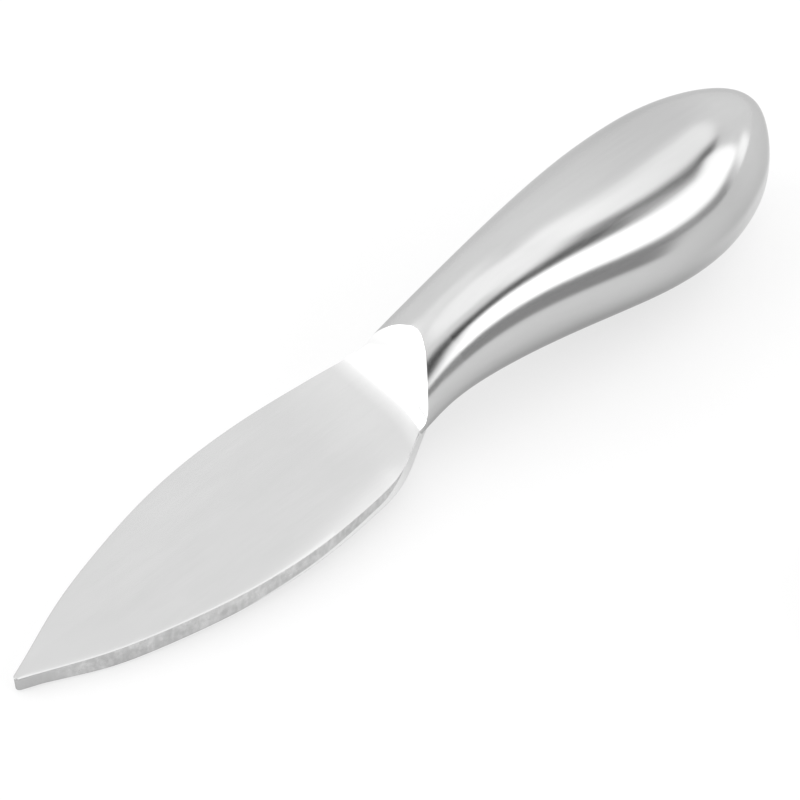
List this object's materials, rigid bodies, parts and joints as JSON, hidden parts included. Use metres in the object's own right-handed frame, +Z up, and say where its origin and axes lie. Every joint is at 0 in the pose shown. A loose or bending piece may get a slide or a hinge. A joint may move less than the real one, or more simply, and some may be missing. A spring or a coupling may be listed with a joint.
{
  "type": "cheese knife",
  "caption": "Small all-steel cheese knife: thick leaf-shaped blade, steep shoulder and a bulbous hollow handle, for breaking and cutting hard cheese.",
  "frame": {"origin": "bottom centre of the bounding box, on the surface the knife lies on", "axes": "+X from the blade tip towards the butt, +Y towards the spine side, +Z up; the knife lies on its tip and belly, so the blade's flat faces lean 3.47 degrees"},
  "size_m": [0.1318, 0.0238, 0.0224],
  "materials": {
    "blade_steel": "satin ground stainless steel",
    "upper_shell_steel": "satin polished stainless sheet",
    "lower_shell_steel": "satin polished stainless sheet",
    "weld_steel": "as-welded stainless bead, hidden",
    "braze_alloy": "as-flowed braze filler, hidden",
    "bedding_cement": "cast filled resin, hidden"
  },
  "bodies": {
    "root": {"blade": "blade_steel", "handle_upper_shell": "upper_shell_steel", "handle_lower_shell": "lower_shell_steel", "seam_weld": "weld_steel", "neck_braze": "braze_alloy", "tang_bedding": "bedding_cement"}
  },
  "joints": []
}
